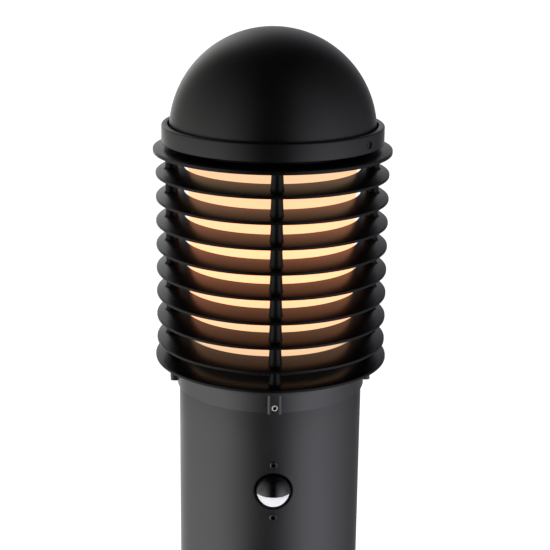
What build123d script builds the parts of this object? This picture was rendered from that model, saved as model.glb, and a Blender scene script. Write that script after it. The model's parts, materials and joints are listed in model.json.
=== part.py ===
from build123d import *
import os
from math import cos, radians, sin, sqrt, tan

# Bollard light: a round post on a cast base, with a motion sensor near its top, and a lantern head of
# stacked louvre rings around a frosted diffuser, closed by a domed cap.
# Frame: origin at the centre of the base's underside, +Z up, the sensor looks along -Y.
# Sizes are millimetres. An azimuth of 0 is the front (-Y) and grows towards +X.

os.makedirs("parts", exist_ok=True)

# ---------------------------------------------------------------- clearances
slide_gap = 0.3  # between pieces that slide or lift past each other
seat_gap = 0.1  # around a piece that drops into a fixed seat
thread_gap = 0.05  # around a screw in its hole
screw_sunk = 0.2  # set screw's face behind the surface it is in
overrun = 5.0  # how far a cut, or a blank that is trimmed, runs past the solid
blind_floor = 1.5  # metal left under a blind hole in the base

# ---------------------------------------------------------------- drives in screw heads
hex_socket = 1.15  # corner radius
hex_depth = 1.0
cross_span = 1.3  # shares of the head's radius and height
cross_width = 0.3
cross_depth = 0.6

# ---------------------------------------------------------------- base and post
base_thickness = 8.0
base_rim = 11.0  # plate outside the anchor circle
base_edge_fillet = 2.5
base_foot_fillet = 5.0
socket_height = 40.0
socket_wall = 4.3
socket_edge_fillet = 1.5
anchor_reach = 12.6  # anchor circle outside the socket
anchor_hole_radius = 4.5
anchor_count = 4
cable_hole_radius = 15.0
base_screw_radius = 2.5
base_screw_rise = 22.0  # above the base plate's top
base_screw_count = 3
base_screw_sunk = 0.3
base_screw_socket = 1.44
base_screw_azimuth = 60.0
earth_stud_radius = 2.5
earth_stud_inset = 19.0  # in from the post's bore
earth_stud_rise = 16.0  # above the base plate's top
earth_stud_floor = 1.0
earth_nut_radius = 5.0
earth_nut_height = 4.0

post_diameter = 114.0
post_wall = 3.0
post_length = 783.8

# ---------------------------------------------------------------- motion sensor
sensor_drop = 63.3  # centre below the post's top
bezel_wall = 0.75
bezel_recess = 0.5  # front edge behind the post's front
lens_radius = 10.0
lens_wall = 1.0
lens_setback = 2.0  # centre of the dome behind the post's front
mask_wall = 0.6
mask_ring_depth = 1.5
sensor_plate_width = 30.0
sensor_plate_margin = 5.9  # plate beyond its screws
sensor_plate_thickness = 3.0
sensor_plate_gap = 0.36  # between the plate's edges and the post's bore
sensor_plate_corner = 5.0
sensor_can_wall = 3.0
sensor_can_depth = 22.0
sensor_seal_width = 2.65
sensor_screw_inset = 2.5  # screw centres outside the seal
sensor_screw_radius = 1.25
sensor_screw_head = 2.2
sensor_screw_head_height = 1.3
mark_azimuth = 50.0
mark_elevation = 16.0
mark_radius = 0.6
mark_height = 0.25
dial_radius = 3.0
dial_depth = 3.0
dial_spread = 7.0
dial_slot_width = 0.8
dial_slot_depth = 1.2
dial_shaft_radius = 1.0
dial_shaft_clearance = 0.06
dial_shaft_depth = 4.0

# ---------------------------------------------------------------- wiring
lead_radius = 2.5
lead_wall_offset = 11.0  # lead centre in from the post's inner wall
lead_hole_gap = 1.0  # around a lead that passes through sheet metal
lead_offset = 6.0  # leads above and below the sensor's centre
switched_bend = 18.0
supply_bends = [30.0, 80.0]
supply_bend_start = 10.0
supply_drop = 60.0  # where the supply lead turns down, below the sensor
clip_wall = 1.6
clip_height = 8.0
clip_foot_width = 6.0
clip_count = 3
clip_clear_low = 120.0  # lowest clip above the terminals
clip_clear_high = 140.0  # highest clip below the sensor
bracket_sheet = 1.5
bracket_width = 30.0
bracket_height = 76.0
bracket_stand = 8.0  # back of the bracket behind the lead's centre
bracket_foot_length = 29.0
bracket_screw_inset = 21.0
bracket_screw_spread = 16.0
bracket_screw_radius = 2.0
bracket_screw_head = 3.8
bracket_screw_head_height = 2.6
screw_tip_gap = 1.0  # under a screw's tip in a blind hole
terminal_width = 28.0
terminal_height = 30.0
terminal_rise = 42.0  # above the base plate's top
terminal_ways = 3
terminal_way_pitch = 8.0
terminal_row_pitch = 14.0
terminal_wire_radius = 2.4
terminal_wire_depth = 12.0
terminal_screw_radius = 1.9
terminal_screw_depth = 4.0
connector_radius = 10.0
connector_height = 15.7
connector_pin_count = 3
shelf_thickness = 2.0
shelf_width = 24.0
shelf_margin = 2.0  # shelf in front of the connector
shelf_skirt = 22.0
shelf_skirt_reach = 10.0
plug_height = 7.0
pin_circle_radius = 5.0
pin_radius = 1.0
pin_length = 12.0

# ---------------------------------------------------------------- head base and louvres
deck_thickness = 5.0
collar_wall = 1.1
collar_depth = 17.3  # collar's lower edge below the deck's top
deck_overhang = 0.4  # past the bosses
deck_rim = 1.1  # outside the tie screws
boss_depth = 4.3  # bosses' flat faces outside the collar
boss_width = 8.8
boss_rise = 0.6  # above the collar's lower edge
boss_edge_fillet = 2.0
boss_end_fillet = 1.0
collar_screw_radius = 2.0
collar_screw_drop = 12.9  # below the deck's top
deck_hole_radius = 6.0

louvre_count = 8
louvre_pitch = 14.8
louvre_width = 17.1
louvre_thickness = 1.8
louvre_slope = 11.65
bottom_ring_reach = 1.0  # past the louvres
bottom_ring_slope = 7.0
bottom_ring_gap = 11.3  # bottom ring's rim to the lowest louvre's rim
top_ring_reach = 5.2  # past the cap ring
top_ring_thickness = 2.3
top_ring_slope = 5.0
top_ring_gap = 14.0  # highest louvre's rim to the top ring's rim

pillar_inset = 7.5  # spacers' circle outside the louvres' bore
pillar_foot_radius = 3.9
pillar_head_radius = 3.3
tie_offset = 0.5  # tie screws in from the spacers' circle
tie_radius = 1.5
tie_head_radius = 2.9
pillar_count = 4

# ---------------------------------------------------------------- lantern inside
seal_height = 2.0
seal_width = 6.5
diffuser_foot_radius = 50.0
diffuser_flare = 1.2  # wider at the top by this
diffuser_wall = 2.5
diffuser_shoulder = 12.0
diffuser_air = 2.3  # between the diffuser and the louvres
holder_wall = 4.9
holder_height = 34.0
holder_step = 1.5
holder_step_low = 18.7
holder_step_high = 20.4
holder_floor = 3.0
holder_screw_radius = 2.0
holder_screw_length = 5.5
holder_screw_head = 3.6
holder_screw_head_height = 2.4
deck_blind_floor = 0.5
grommet_flange = 2.0
grommet_lip = 1.2
holder_stand = 9.2  # bracket plate's top above the deck
holder_bracket_width = 28.0
holder_bracket_span = 44.0
holder_foot = 10.0
lamp_cap_radius = 13.3
lamp_cap_height = 26.0
lamp_tip_height = 5.0
lamp_tip_radius = 4.8
lamp_tip_shoulder = 1.0
contact_wall = 0.5
contact_rim = 4.0  # contact sleeve's top below the lamp cap's height
bulb_radius = 30.0
bulb_height = 82.0
bulb_wall = 1.2
bulb_neck_inset = 0.3
bulb_neck_pull = 20.0  # handles of the curve from the bulb's crown to its neck
bulb_crown_pull = 22.0

# ---------------------------------------------------------------- cap
spigot_height = 12.7  # above the top ring's rim top
spigot_ledge = 3.6  # spigot's bore outside the louvres' bore
spigot_wall = 2.0
cap_gap = 3.2  # top ring's rim top to the cap ring
cap_ring_wall = 4.5  # outside the dome
cap_ring_height = 11.4
cap_groove = 1.0
cap_groove_depth = 4.0
cap_lip = 2.0
cap_edge_fillet = 1.2
cap_foot_fillet = 0.6
dome_wall = 3.0
dome_skirt = 4.1
dome_bead_width = 6.4
dome_bead_height = 5.0
dome_bead_root = 0.5  # into the dome's wall
cap_screw_radius = 2.0
cap_screw_rise = 5.4  # above the cap ring's lower edge
cap_screw_azimuth = 54.0
cap_screw_count = 2
cap_seal_height = 1.2
hold_ring_thickness = 1.2
hold_ring_bore = 40.0
hold_pad_height = 5.0
hold_pad_width = 8.0
hold_screw_radius = 1.25
hold_screw_cover = 1.0  # bead left above the screws
hold_screw_head = 2.6
hold_screw_head_height = 1.8
hold_screw_count = 3

# ---------------------------------------------------------------- derived places
post_radius = post_diameter / 2
post_bore = post_radius - post_wall
socket_bore = post_radius + seat_gap
socket_radius = socket_bore + socket_wall
anchor_circle = socket_radius + anchor_reach
base_radius = anchor_circle + base_rim
base_screw_height = base_thickness + base_screw_rise
base_screw_azimuths = [base_screw_azimuth + i * 360 / base_screw_count for i in range(base_screw_count)]
post_top = base_thickness + post_length
deck_low = post_top + slide_gap
deck_top = deck_low + deck_thickness
collar_bore = post_radius + slide_gap
collar_radius = collar_bore + collar_wall
collar_low = deck_top - collar_depth
boss_radius = collar_radius + boss_depth
diffuser_top_radius = diffuser_foot_radius + diffuser_flare
louvre_bore = diffuser_top_radius + diffuser_air
louvre_radius = louvre_bore + louvre_width
bottom_ring_radius = louvre_radius + bottom_ring_reach
pillar_circle = louvre_bore + pillar_inset
tie_circle = pillar_circle - tie_offset
deck_radius = max(boss_radius + deck_overhang, tie_circle + tie_radius + deck_rim)
lowest_louvre = deck_top + bottom_ring_gap
highest_louvre = lowest_louvre + (louvre_count - 1) * louvre_pitch
top_ring_low = highest_louvre + top_ring_gap
top_ring_top = top_ring_low + top_ring_thickness
spigot_bore = louvre_bore + spigot_ledge
spigot_radius = spigot_bore + spigot_wall
spigot_top = top_ring_top + spigot_height
dome_bore = spigot_radius + slide_gap
dome_radius = dome_bore + dome_wall
cap_ring_radius = dome_radius + cap_ring_wall
top_ring_radius = cap_ring_radius + top_ring_reach
cap_low = top_ring_top + cap_gap
cap_top = cap_low + cap_ring_height
dome_low = cap_low + cap_lip
dome_centre = dome_low + dome_skirt
bead_low = spigot_top + cap_seal_height + slide_gap
bead_bore = dome_bore - dome_bead_width
hold_ring_low = bead_low - hold_ring_thickness
hold_ring_radius = spigot_bore - slide_gap
hold_screw_circle = hold_ring_radius - hold_screw_head - slide_gap / 2
diffuser_low = deck_top + seal_height + slide_gap
diffuser_top = hold_ring_low - hold_pad_height - slide_gap
sensor_height = post_top - sensor_drop
mask_bore = lens_radius + slide_gap
mask_radius = mask_bore + mask_wall
bezel_bore = mask_radius + slide_gap
bezel_radius = bezel_bore + bezel_wall
sensor_hole_radius = bezel_radius + seat_gap
sensor_seal_radius = bezel_radius + sensor_seal_width
sensor_screw_spread = sensor_seal_radius + sensor_screw_inset
sensor_plate_height = 2 * (sensor_screw_spread + sensor_plate_margin)
sensor_can_radius = lens_radius + sensor_can_wall
lens_y = -post_radius + lens_setback
plate_front = -sqrt((post_bore - sensor_plate_gap) ** 2 - (sensor_plate_width / 2) ** 2)
sensor_plate_setback = post_radius + plate_front
plate_back = plate_front + sensor_plate_thickness
can_back = plate_back + sensor_can_depth
lead_y = post_bore - lead_wall_offset
plug_low = deck_low - plug_height
shelf_top = plug_low - slide_gap - connector_height
pillar_azimuths = [i * 360 / pillar_count for i in range(pillar_count)]


def radial_plane(azimuth, radius, height):
    """A plane that faces straight out from the post's axis."""
    outward = Vector(sin(radians(azimuth)), -cos(radians(azimuth)), 0)
    return Plane(origin=outward * radius + Vector(0, 0, height), z_dir=outward)


def upright_plane(azimuth, radius, height):
    """A level plane centred on a point at that azimuth and radius."""
    return Plane(origin=radial_plane(azimuth, radius, height).origin)


def sensor_plane(y):
    """A plane square to the sensor's axis, facing out of the post."""
    return Plane(origin=(0, y, sensor_height), x_dir=(1, 0, 0), z_dir=(0, -1, 0))


def axis_distance(edge):
    """How far an edge's middle stands from the post's axis."""
    middle = edge.center()
    return (middle.X**2 + middle.Y**2) ** 0.5


def save(piece, name):
    """Label a finished sub-part and write it to its own file."""
    piece.part.label = name
    export_step(piece.part, f"parts/{name}.step")


def turned(points):
    """A solid turned about the post's axis from a closed outline of (radius, height) points."""
    with BuildPart() as piece:
        with BuildSketch(Plane.XZ):
            with BuildLine():
                Polyline(*points, close=True)
            make_face()
        revolve(axis=Axis.Z)
    return piece


def ring(outer, inner, low, height):
    """A plain flat ring or sleeve about the post's axis."""
    return turned([(inner, low), (outer, low), (outer, low + height), (inner, low + height)])


def set_screws(azimuths, radius, tip_radius, face_radius, height, socket):
    """Headless socket screws that point at the post's axis."""
    with BuildPart() as piece:
        for azimuth in azimuths:
            with BuildSketch(radial_plane(azimuth, face_radius, height)):
                Circle(radius)
            extrude(amount=tip_radius - face_radius)
            with BuildSketch(radial_plane(azimuth, face_radius, height)):
                RegularPolygon(socket, 6)
            extrude(amount=-2 * socket, mode=Mode.SUBTRACT)
    return piece


def level_screws(places, radius, length, head_radius, head_height, seat, up=1):
    """Pan-head screws along Z. The head lies on the seat's side that up points to."""
    with BuildPart() as piece:
        for x, y in places:
            with BuildSketch(Plane(origin=(x, y, seat))):
                Circle(head_radius)
            extrude(amount=head_height * up)
            with BuildSketch(Plane(origin=(x, y, seat))):
                Circle(radius)
            extrude(amount=-length * up)
            with BuildSketch(Plane(origin=(x, y, seat + head_height * up))):
                Rectangle(head_radius * cross_span, head_radius * cross_width)
                Rectangle(head_radius * cross_width, head_radius * cross_span)
            extrude(amount=-head_height * up * cross_depth, mode=Mode.SUBTRACT)
    return piece


def lead(points, radii):
    """A round lead along straight runs joined by tangent arcs."""
    with BuildPart() as piece:
        with BuildLine() as path:
            if radii:
                FilletPolyline(*points, radius=radii)
            else:
                Polyline(*points)
        with BuildSketch(Plane(origin=path.line @ 0, z_dir=path.line % 0)):
            Circle(lead_radius)
        sweep(path=path.line)
    return piece


# ================================================================ base and post
bracket_back = lead_y + bracket_stand
bracket_front = bracket_back - bracket_sheet
bracket_screw_y = bracket_back - bracket_screw_inset
bracket_screw_places = [
    (-bracket_screw_spread / 2, bracket_screw_y),
    (bracket_screw_spread / 2, bracket_screw_y),
]
earth_stud_y = -post_bore + earth_stud_inset

with BuildPart() as base_flange:
    with BuildSketch(Plane.XY):
        Circle(base_radius)
    extrude(amount=base_thickness)
    with BuildSketch(Plane.XY.offset(base_thickness)):
        Circle(socket_radius)
    extrude(amount=socket_height)
    foot_edge = base_flange.edges().filter_by(GeomType.CIRCLE).group_by(Axis.Z)[1].sort_by(SortBy.RADIUS)
    fillet(foot_edge[0], radius=base_foot_fillet)
    rim_edge = base_flange.edges().filter_by(GeomType.CIRCLE).sort_by(SortBy.RADIUS)[-1]
    fillet(rim_edge, radius=base_edge_fillet)
    fillet(base_flange.edges().filter_by(GeomType.CIRCLE).group_by(Axis.Z)[-1], radius=socket_edge_fillet)
    with BuildSketch(Plane.XY.offset(base_thickness)):
        Circle(socket_bore)
    extrude(amount=socket_height, mode=Mode.SUBTRACT)
    with BuildSketch(Plane.XY):
        Circle(cable_hole_radius)
        with PolarLocations(anchor_circle, anchor_count, start_angle=180 / anchor_count):
            Circle(anchor_hole_radius)
        with Locations((0, earth_stud_y)):
            Circle(earth_stud_radius + thread_gap)
    extrude(amount=base_thickness, mode=Mode.SUBTRACT)
    for azimuth in base_screw_azimuths:
        with BuildSketch(radial_plane(azimuth, post_radius, base_screw_height)):
            Circle(base_screw_radius + thread_gap)
        extrude(amount=socket_wall + overrun, mode=Mode.SUBTRACT)
    with BuildSketch(Plane.XY.offset(blind_floor)):
        with Locations(*bracket_screw_places):
            Circle(bracket_screw_radius + thread_gap)
    extrude(amount=base_thickness - blind_floor, mode=Mode.SUBTRACT)
save(base_flange, "base_flange")

base_grub_screws = set_screws(
    base_screw_azimuths,
    base_screw_radius,
    post_radius,
    socket_radius - base_screw_sunk,
    base_screw_height,
    base_screw_socket,
)
save(base_grub_screws, "base_grub_screws")

with BuildPart() as post_tube:
    with BuildSketch(Plane.XY.offset(base_thickness)):
        Circle(post_radius)
        Circle(post_bore, mode=Mode.SUBTRACT)
    extrude(amount=post_length)
    with BuildSketch(sensor_plane(-post_radius)):
        Circle(sensor_hole_radius)
        with Locations((0, sensor_screw_spread), (0, -sensor_screw_spread)):
            Circle(sensor_screw_radius + seat_gap)
    extrude(amount=-post_wall - overrun, mode=Mode.SUBTRACT)
save(post_tube, "post_tube")

with BuildPart() as earth_stud:
    with BuildSketch(Plane(origin=(0, earth_stud_y, base_thickness))):
        RegularPolygon(earth_nut_radius, 6)
    extrude(amount=earth_nut_height)
    with BuildSketch(Plane(origin=(0, earth_stud_y, earth_stud_floor))):
        Circle(earth_stud_radius)
    extrude(amount=base_thickness + earth_stud_rise - earth_stud_floor)
save(earth_stud, "earth_stud")

# ================================================================ supply terminals in the foot
foot_front = bracket_back - bracket_foot_length
block_low = base_thickness + terminal_rise
block_front = 2 * lead_y - bracket_front

with BuildPart() as terminal_bracket:
    with BuildSketch(Plane.YZ):
        with BuildLine():
            Polyline(
                (foot_front, base_thickness),
                (bracket_back, base_thickness),
                (bracket_back, base_thickness + bracket_height),
                (bracket_front, base_thickness + bracket_height),
                (bracket_front, base_thickness + bracket_sheet),
                (foot_front, base_thickness + bracket_sheet),
                close=True,
            )
        make_face()
    extrude(amount=bracket_width / 2, both=True)
    with BuildSketch(Plane.XY.offset(base_thickness)):
        with Locations(*bracket_screw_places):
            Circle(bracket_screw_radius + seat_gap)
    extrude(amount=bracket_sheet, mode=Mode.SUBTRACT)
save(terminal_bracket, "terminal_bracket")

bracket_screws = level_screws(
    bracket_screw_places,
    bracket_screw_radius,
    bracket_sheet + base_thickness - blind_floor - screw_tip_gap,
    bracket_screw_head,
    bracket_screw_head_height,
    base_thickness + bracket_sheet,
)
save(bracket_screws, "bracket_screws")

with BuildPart() as terminal_block:
    with BuildSketch(Plane(origin=(0, lead_y, block_low))):
        Rectangle(terminal_width, bracket_front - block_front)
    extrude(amount=terminal_height)
    with BuildSketch(Plane(origin=(0, lead_y, block_low))):
        with GridLocations(terminal_way_pitch, 0, terminal_ways, 1):
            Circle(terminal_wire_radius)
    extrude(amount=terminal_wire_depth, mode=Mode.SUBTRACT)
    with BuildSketch(Plane(origin=(0, block_front, block_low + terminal_height / 2), z_dir=(0, -1, 0))):
        with GridLocations(terminal_way_pitch, terminal_row_pitch, terminal_ways, 2):
            Circle(terminal_screw_radius)
    extrude(amount=-terminal_screw_depth, mode=Mode.SUBTRACT)
save(terminal_block, "terminal_block")

# ================================================================ motion sensor
sensor_axis = Axis((0, lens_y, sensor_height), (0, -1, 0))


with BuildPart() as sensor_housing:
    with BuildSketch(sensor_plane(plate_front)):
        RectangleRounded(sensor_plate_width, sensor_plate_height, sensor_plate_corner)
    extrude(amount=-sensor_plate_thickness)
    with BuildSketch(sensor_plane(plate_back)):
        Circle(sensor_can_radius)
    extrude(amount=-sensor_can_depth)
    with BuildSketch(sensor_plane(plate_front)):
        Circle(lens_radius - lens_wall)
        with Locations((0, sensor_screw_spread), (0, -sensor_screw_spread)):
            Circle(sensor_screw_radius + thread_gap)
    extrude(amount=-sensor_plate_thickness, mode=Mode.SUBTRACT)
    with BuildSketch(sensor_plane(can_back)):
        with Locations((-dial_spread, 0), (dial_spread, 0)):
            Circle(dial_shaft_radius + dial_shaft_clearance)
    extrude(amount=dial_shaft_depth + slide_gap, mode=Mode.SUBTRACT)
save(sensor_housing, "sensor_housing")

with BuildPart() as sensor_bezel:
    with BuildSketch(sensor_plane(plate_front)):
        Circle(bezel_radius)
        Circle(bezel_bore, mode=Mode.SUBTRACT)
    extrude(amount=sensor_plate_setback - bezel_recess)
save(sensor_bezel, "sensor_bezel")

with BuildPart() as sensor_seal:
    with BuildSketch(sensor_plane(plate_front)):
        Circle(sensor_seal_radius)
        Circle(bezel_radius + seat_gap, mode=Mode.SUBTRACT)
    extrude(amount=sensor_plate_setback)
    with BuildSketch(Plane.XY.offset(sensor_height - sensor_plate_height)):
        Circle(post_radius + sensor_plate_setback)
        Circle(post_bore, mode=Mode.SUBTRACT)
    extrude(amount=2 * sensor_plate_height, mode=Mode.SUBTRACT)
save(sensor_seal, "sensor_seal")


def half_dome(outer, inner, skirt_end):
    """Outline of a hollow dome on the sensor's axis, with a skirt behind it, as (radius, depth)."""
    with BuildSketch(Plane(origin=(0, 0, sensor_height), x_dir=(1, 0, 0), z_dir=(0, 0, 1))) as outline:
        with BuildLine():
            Line((inner, skirt_end), (outer, skirt_end))
            Line((outer, skirt_end), (outer, lens_y))
            CenterArc((0, lens_y), outer, 0, -90)
            Line((0, lens_y - outer), (0, lens_y - inner))
            CenterArc((0, lens_y), inner, -90, 90)
            Line((inner, lens_y), (inner, skirt_end))
        make_face()
    return outline.sketch


lens_outline = half_dome(lens_radius, lens_radius - lens_wall, plate_front)
mask_outline = half_dome(mask_radius, mask_bore, lens_y + mask_ring_depth)

with BuildPart() as sensor_lens:
    revolve(lens_outline, axis=sensor_axis)
save(sensor_lens, "sensor_lens")

with BuildPart() as sensor_mask:
    revolve(mask_outline, axis=sensor_axis)
    with BuildSketch(sensor_plane(lens_y)):
        with Locations((0, -mask_radius)):
            Rectangle(3 * mask_radius, 2 * mask_radius)
    extrude(amount=2 * mask_radius, mode=Mode.SUBTRACT)
    for side in (-1, 1):
        flat = cos(radians(mark_elevation))
        outward = Vector(
            side * flat * sin(radians(mark_azimuth)),
            -flat * cos(radians(mark_azimuth)),
            sin(radians(mark_elevation)),
        )
        foot = Vector(0, lens_y, sensor_height) + outward * (mask_radius - mask_wall / 2)
        with BuildSketch(Plane(origin=foot, z_dir=outward)):
            Circle(mark_radius)
        extrude(amount=mask_wall / 2 + mark_height)
save(sensor_mask, "sensor_mask")

with BuildPart() as sensor_screws:
    for side in (-1, 1):
        place = sensor_height + side * sensor_screw_spread
        with BuildSketch(radial_plane(0, post_radius, place)):
            Circle(sensor_screw_head)
        extrude(amount=sensor_screw_head_height)
        with BuildSketch(radial_plane(0, post_radius, place)):
            Circle(sensor_screw_radius)
        extrude(amount=-sensor_plate_setback - sensor_plate_thickness)
        with BuildSketch(radial_plane(0, post_radius + sensor_screw_head_height, place)):
            RegularPolygon(hex_socket, 6)
        extrude(amount=-hex_depth, mode=Mode.SUBTRACT)
save(sensor_screws, "sensor_screws")


def sensor_dial(side):
    """One adjuster on the back of the sensor's can, with its shaft in the can."""
    dial_foot = can_back + slide_gap
    with BuildPart() as dial:
        with BuildSketch(Plane(origin=(side * dial_spread, dial_foot, sensor_height), z_dir=(0, 1, 0))):
            Circle(dial_radius)
        extrude(amount=dial_depth)
        with BuildSketch(Plane(origin=(side * dial_spread, dial_foot, sensor_height), z_dir=(0, -1, 0))):
            Circle(dial_shaft_radius)
        extrude(amount=dial_shaft_depth)
        dial_face = Plane(origin=(side * dial_spread, dial_foot + dial_depth, sensor_height), z_dir=(0, 1, 0))
        with BuildSketch(dial_face):
            Rectangle(dial_slot_width, 2 * dial_radius)
        extrude(amount=-dial_slot_depth, mode=Mode.SUBTRACT)
    return dial


time_dial = sensor_dial(-1)
save(time_dial, "time_dial")
light_level_dial = sensor_dial(1)
save(light_level_dial, "light_level_dial")

# ================================================================ plug and socket between post and head
shelf_front = -connector_radius - shelf_margin
skirt_low = shelf_top - shelf_skirt

with BuildPart() as connector_shelf:
    with BuildSketch(Plane.XY.offset(shelf_top - shelf_thickness)):
        with Locations((0, (post_bore + shelf_front) / 2)):
            Rectangle(shelf_width, post_bore - shelf_front)
    extrude(amount=shelf_thickness)
    with BuildSketch(Plane.XY.offset(skirt_low)):
        with Locations((0, post_bore - shelf_skirt_reach / 2)):
            Rectangle(shelf_width, shelf_skirt_reach)
    extrude(amount=shelf_skirt)
    with BuildSketch(Plane.XY.offset(skirt_low)):
        Circle(post_bore - shelf_thickness)
    extrude(amount=shelf_skirt - shelf_thickness, mode=Mode.SUBTRACT)
    with BuildSketch(Plane.XY.offset(skirt_low)):
        Circle(post_bore + shelf_width)
        Circle(post_bore, mode=Mode.SUBTRACT)
    extrude(amount=shelf_skirt, mode=Mode.SUBTRACT)
    with BuildSketch(Plane.XY.offset(shelf_top - shelf_thickness)):
        Circle(lead_radius + lead_hole_gap)
    extrude(amount=shelf_thickness, mode=Mode.SUBTRACT)
save(connector_shelf, "connector_shelf")

with BuildPart() as head_socket:
    with BuildSketch(Plane.XY.offset(shelf_top)):
        Circle(connector_radius)
    extrude(amount=connector_height)
    with BuildSketch(Plane.XY.offset(shelf_top + connector_height)):
        with PolarLocations(pin_circle_radius, connector_pin_count):
            Circle(pin_radius + slide_gap)
    extrude(amount=-pin_length - slide_gap, mode=Mode.SUBTRACT)
save(head_socket, "head_socket")

with BuildPart() as head_plug:
    with BuildSketch(Plane.XY.offset(plug_low)):
        Circle(connector_radius)
    extrude(amount=deck_low - plug_low)
    with BuildSketch(Plane.XY.offset(plug_low)):
        with PolarLocations(pin_circle_radius, connector_pin_count):
            Circle(pin_radius)
    extrude(amount=-pin_length)
save(head_plug, "head_plug")

switched_lead = lead(
    [
        (0, can_back, sensor_height + lead_offset),
        (0, 0, sensor_height + lead_offset),
        (0, 0, shelf_top),
    ],
    [switched_bend],
)
save(switched_lead, "switched_lead")

supply_lead = lead(
    [
        (0, can_back, sensor_height - lead_offset),
        (0, supply_bend_start, sensor_height - lead_offset),
        (0, lead_y, sensor_height - supply_drop),
        (0, lead_y, block_low + terminal_height),
    ],
    supply_bends,
)
save(supply_lead, "supply_lead")

clip_bore = lead_radius + thread_gap
clip_lowest = block_low + terminal_height + clip_clear_low
clip_highest = sensor_height - clip_clear_high

with BuildPart() as lead_clips:
    for i in range(clip_count):
        clip_z = clip_lowest + i * (clip_highest - clip_lowest) / (clip_count - 1)
        with BuildSketch(Plane.XY.offset(clip_z)):
            with Locations((0, lead_y)):
                Circle(clip_bore + clip_wall)
            with Locations((0, (lead_y + post_bore) / 2)):
                Rectangle(clip_foot_width, post_bore - lead_y)
            with Locations((0, lead_y)):
                Circle(clip_bore, mode=Mode.SUBTRACT)
        extrude(amount=clip_height)
        with BuildSketch(Plane.XY.offset(clip_z)):
            Circle(post_bore + clip_foot_width)
            Circle(post_bore, mode=Mode.SUBTRACT)
        extrude(amount=clip_height, mode=Mode.SUBTRACT)
save(lead_clips, "lead_clips")

# ================================================================ head base: collar, bosses and deck
collar_screw_height = deck_top - collar_screw_drop
boss_low = collar_low + boss_rise
boss_high = deck_low + deck_thickness / 2

with BuildPart() as head_base:
    for azimuth in pillar_azimuths:
        with BuildSketch(radial_plane(azimuth, post_bore, (boss_low + boss_high) / 2)):
            Rectangle(boss_width, boss_high - boss_low)
        extrude(amount=boss_radius - post_bore)
    upright = head_base.edges().filter_by(Axis.Z)
    fillet([edge for edge in upright if axis_distance(edge) > collar_bore], radius=boss_edge_fillet)
    lowest = head_base.edges().group_by(Axis.Z)[0]
    fillet([edge for edge in lowest if axis_distance(edge) > collar_radius], radius=boss_end_fillet)
    with BuildSketch(Plane.XZ):
        with BuildLine():
            Polyline(
                (deck_hole_radius, deck_low),
                (deck_hole_radius, deck_top),
                (deck_radius, deck_top),
                (deck_radius, deck_low),
                (collar_radius, deck_low),
                (collar_radius, collar_low),
                (collar_bore, collar_low),
                (collar_bore, deck_low),
                close=True,
            )
        make_face()
    revolve(axis=Axis.Z)
    with BuildSketch(Plane.XY.offset(collar_low)):
        Circle(collar_bore)
    extrude(amount=deck_low - collar_low, mode=Mode.SUBTRACT)
    for azimuth in pillar_azimuths:
        with BuildSketch(radial_plane(azimuth, post_radius, collar_screw_height)):
            Circle(collar_screw_radius + thread_gap)
        extrude(amount=boss_radius - post_radius + overrun, mode=Mode.SUBTRACT)
        with BuildSketch(upright_plane(azimuth, tie_circle, deck_low)):
            Circle(tie_radius + thread_gap)
        extrude(amount=deck_thickness, mode=Mode.SUBTRACT)
    holder_screw_x = holder_bracket_span / 2 + holder_foot / 2
    with BuildSketch(Plane.XY.offset(deck_top)):
        with Locations((-holder_screw_x, 0), (holder_screw_x, 0)):
            Circle(holder_screw_radius + thread_gap)
    extrude(amount=deck_blind_floor - deck_thickness, mode=Mode.SUBTRACT)
save(head_base, "head_base")

collar_grub_screws = set_screws(
    pillar_azimuths,
    collar_screw_radius,
    collar_bore,
    boss_radius - screw_sunk,
    collar_screw_height,
    hex_socket,
)
save(collar_grub_screws, "collar_grub_screws")


# ================================================================ louvre stack
def cone_height(radius, rim_radius, rim_height, slope):
    """Height of a blade's face at a radius: it climbs inwards from its rim."""
    return rim_height + (rim_radius - radius) * tan(radians(slope))


def pillars(feet_height, above_radius, above_height, above_slope):
    """Tapered spacers, trimmed to the underside of the blade that they carry."""
    inner, outer = pillar_circle - 2 * pillar_foot_radius, pillar_circle + 2 * pillar_foot_radius
    reach = cone_height(inner, above_radius, above_height, above_slope)
    with BuildPart() as spacers:
        for azimuth in pillar_azimuths:
            with BuildSketch(upright_plane(azimuth, pillar_circle, feet_height)):
                Circle(pillar_foot_radius)
            with BuildSketch(upright_plane(azimuth, pillar_circle, reach)):
                Circle(pillar_head_radius)
            loft()
        with BuildSketch(Plane.XZ):
            with BuildLine():
                Polyline(
                    (inner, cone_height(inner, above_radius, above_height, above_slope)),
                    (outer, cone_height(outer, above_radius, above_height, above_slope)),
                    (outer, reach + overrun),
                    (inner, reach + overrun),
                    close=True,
                )
            make_face()
        revolve(axis=Axis.Z, mode=Mode.SUBTRACT)
    return spacers.part


def tie_holes(low, high):
    """Clearance holes for the tie screws."""
    with BuildPart() as holes:
        for azimuth in pillar_azimuths:
            with BuildSketch(upright_plane(azimuth, tie_circle, low)):
                Circle(tie_radius + seat_gap)
            extrude(amount=high - low)
    return holes.part


def louvre(rim_low, above_radius, above_height, above_slope):
    """One blade with its four spacers on top."""
    rise = cone_height(louvre_bore, louvre_radius, rim_low, louvre_slope)
    foot = cone_height(pillar_circle, louvre_radius, rim_low, louvre_slope)
    blade = turned(
        [
            (louvre_radius, rim_low),
            (louvre_radius, rim_low + louvre_thickness),
            (louvre_bore, rise + louvre_thickness),
            (louvre_bore, rise),
        ]
    )
    with BuildPart() as piece:
        add(blade.part)
        add(pillars(foot + louvre_thickness / 2, above_radius, above_height, above_slope))
        add(tie_holes(rim_low, above_height + 2 * overrun), mode=Mode.SUBTRACT)
    return piece


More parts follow.
